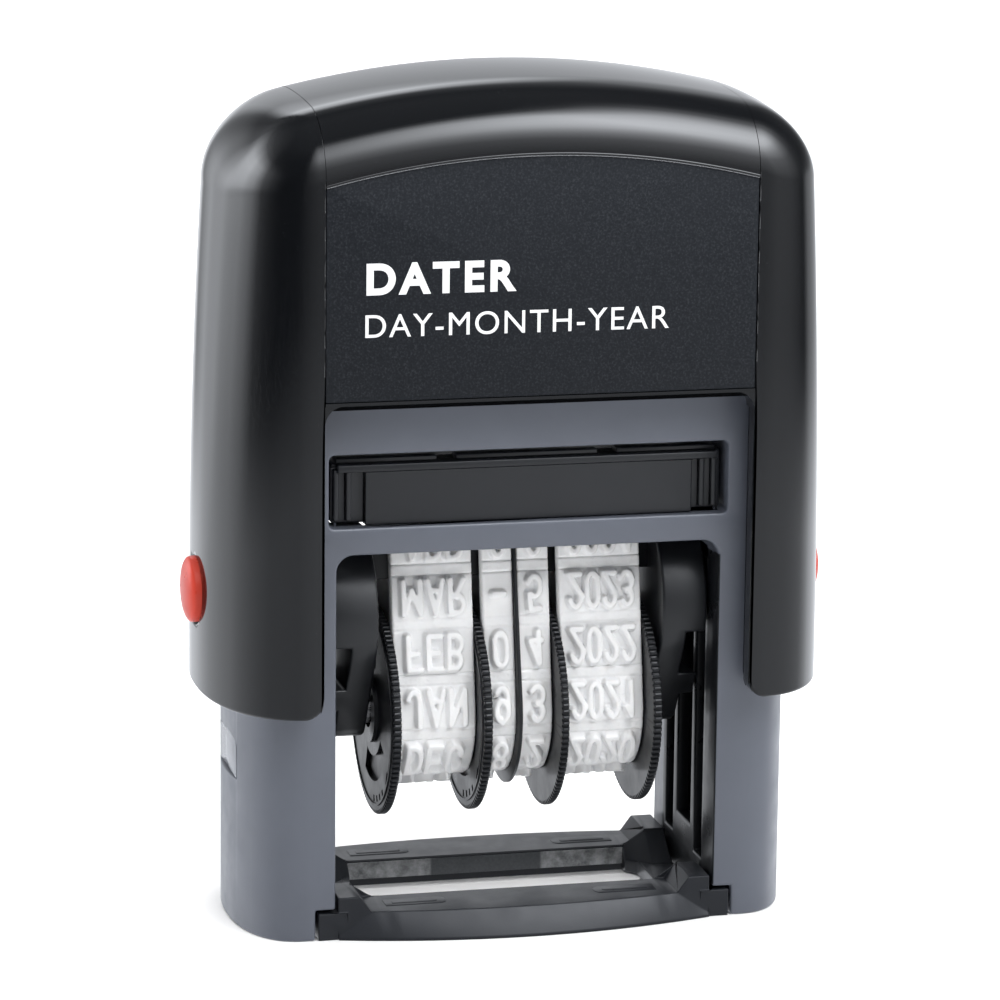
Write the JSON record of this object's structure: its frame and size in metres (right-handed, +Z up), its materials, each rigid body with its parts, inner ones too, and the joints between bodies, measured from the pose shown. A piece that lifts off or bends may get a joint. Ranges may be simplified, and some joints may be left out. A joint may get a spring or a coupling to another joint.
{
  "type": "rotary date stamp",
  "caption": "Self-inking rotary date stamp: a press-down cap over a slotted base frame, a flipping die carrier with setting wheels and rubber date bands, and a slide-in ink pad.",
  "frame": {"origin": "centre of the footprint, on the surface the stamp stands on", "axes": "+Z up along the stroke of the cap, +X to the viewer's right along the wheels' axle, front facing -Y"},
  "size_m": [0.0686, 0.0324, 0.0896],
  "materials": {
    "grey_plastic": "satin moulded plastic",
    "black_plastic": "satin black moulded plastic",
    "tray_plastic": "satin black moulded plastic",
    "wheel_plastic": "satin black moulded plastic",
    "gloss_black": "high-gloss black moulded plastic",
    "label_film": "matt printed film",
    "red_plastic": "semi-gloss red moulded plastic",
    "band_rubber": "matt light grey moulded rubber",
    "ink_felt": "ink-soaked felt",
    "spring_steel": "drawn wire"
  },
  "bodies": {
    "base": {"base_frame": "grey_plastic", "frame_collar": "grey_plastic", "spring_post": "grey_plastic", "foot_ring": "black_plastic", "return_spring": "spring_steel"},
    "press_cap": {"cap_shell": "gloss_black", "index_cover": "gloss_black", "front_label": "label_film", "rear_label": "label_film", "press_bracket": "black_plastic"},
    "left_button": {"lock_button_left": "red_plastic"},
    "right_button": {"lock_button_right": "red_plastic"},
    "ink_cartridge": {"pad_tray": "tray_plastic", "ink_pad": "ink_felt"},
    "die_carrier": {"carrier_cheek_left": "black_plastic", "carrier_cheek_right": "black_plastic", "print_bridge": "black_plastic", "wheel_axle": "spring_steel", "band_divider": "black_plastic", "month_band": "band_rubber", "tens_band": "band_rubber", "units_band": "band_rubber", "year_band": "band_rubber"},
    "month_setting": {"month_wheel": "wheel_plastic"},
    "tens_setting": {"tens_wheel": "wheel_plastic"},
    "units_setting": {"units_wheel": "wheel_plastic"},
    "year_setting": {"year_wheel": "wheel_plastic"}
  },
  "joints": [
    {"name": "cap_press", "type": "slide", "parent": "base", "child": "press_cap", "axis": [0, 0, -1], "range_m": [0, 0.022], "stiffness_N_per_m": 400, "springref_m": -0.01, "deforming": ["return_spring"]},
    {"name": "carrier_flip", "type": "hinge", "parent": "press_cap", "child": "die_carrier", "pos_m": [0, 0, 0.03285], "axis": [-1, 0, 0], "range_deg": [0, 180]},
    {"name": "left_button_press", "type": "slide", "parent": "press_cap", "child": "left_button", "axis": [1, 0, 0], "range_m": [0, 0.0012], "stiffness_N_per_m": 300, "springref_m": -0.002},
    {"name": "right_button_press", "type": "slide", "parent": "press_cap", "child": "right_button", "axis": [-1, 0, 0], "range_m": [0, 0.0012], "stiffness_N_per_m": 300, "springref_m": -0.002},
    {"name": "pad_slide", "type": "slide", "parent": "base", "child": "ink_cartridge", "axis": [0, 1, 0], "range_m": [-0.02, 0]},
    {"name": "month_wheel_turn", "type": "hinge", "parent": "die_carrier", "child": "month_setting", "pos_m": [-0.01365, 0, 0.0215], "axis": [1, 0, 0], "continuous": true},
    {"name": "tens_wheel_turn", "type": "hinge", "parent": "die_carrier", "child": "tens_setting", "pos_m": [-0.00395, 0, 0.0215], "axis": [1, 0, 0], "continuous": true},
    {"name": "units_wheel_turn", "type": "hinge", "parent": "die_carrier", "child": "units_setting", "pos_m": [0.0043, 0, 0.0215], "axis": [1, 0, 0], "continuous": true},
    {"name": "year_wheel_turn", "type": "hinge", "parent": "die_carrier", "child": "year_setting", "pos_m": [0.01425, 0, 0.0215], "axis": [1, 0, 0], "continuous": true}
  ],
  "couplings": [
    {"joint": "carrier_flip", "follows": "cap_press", "rad_per_m": 142.79}
  ]
}
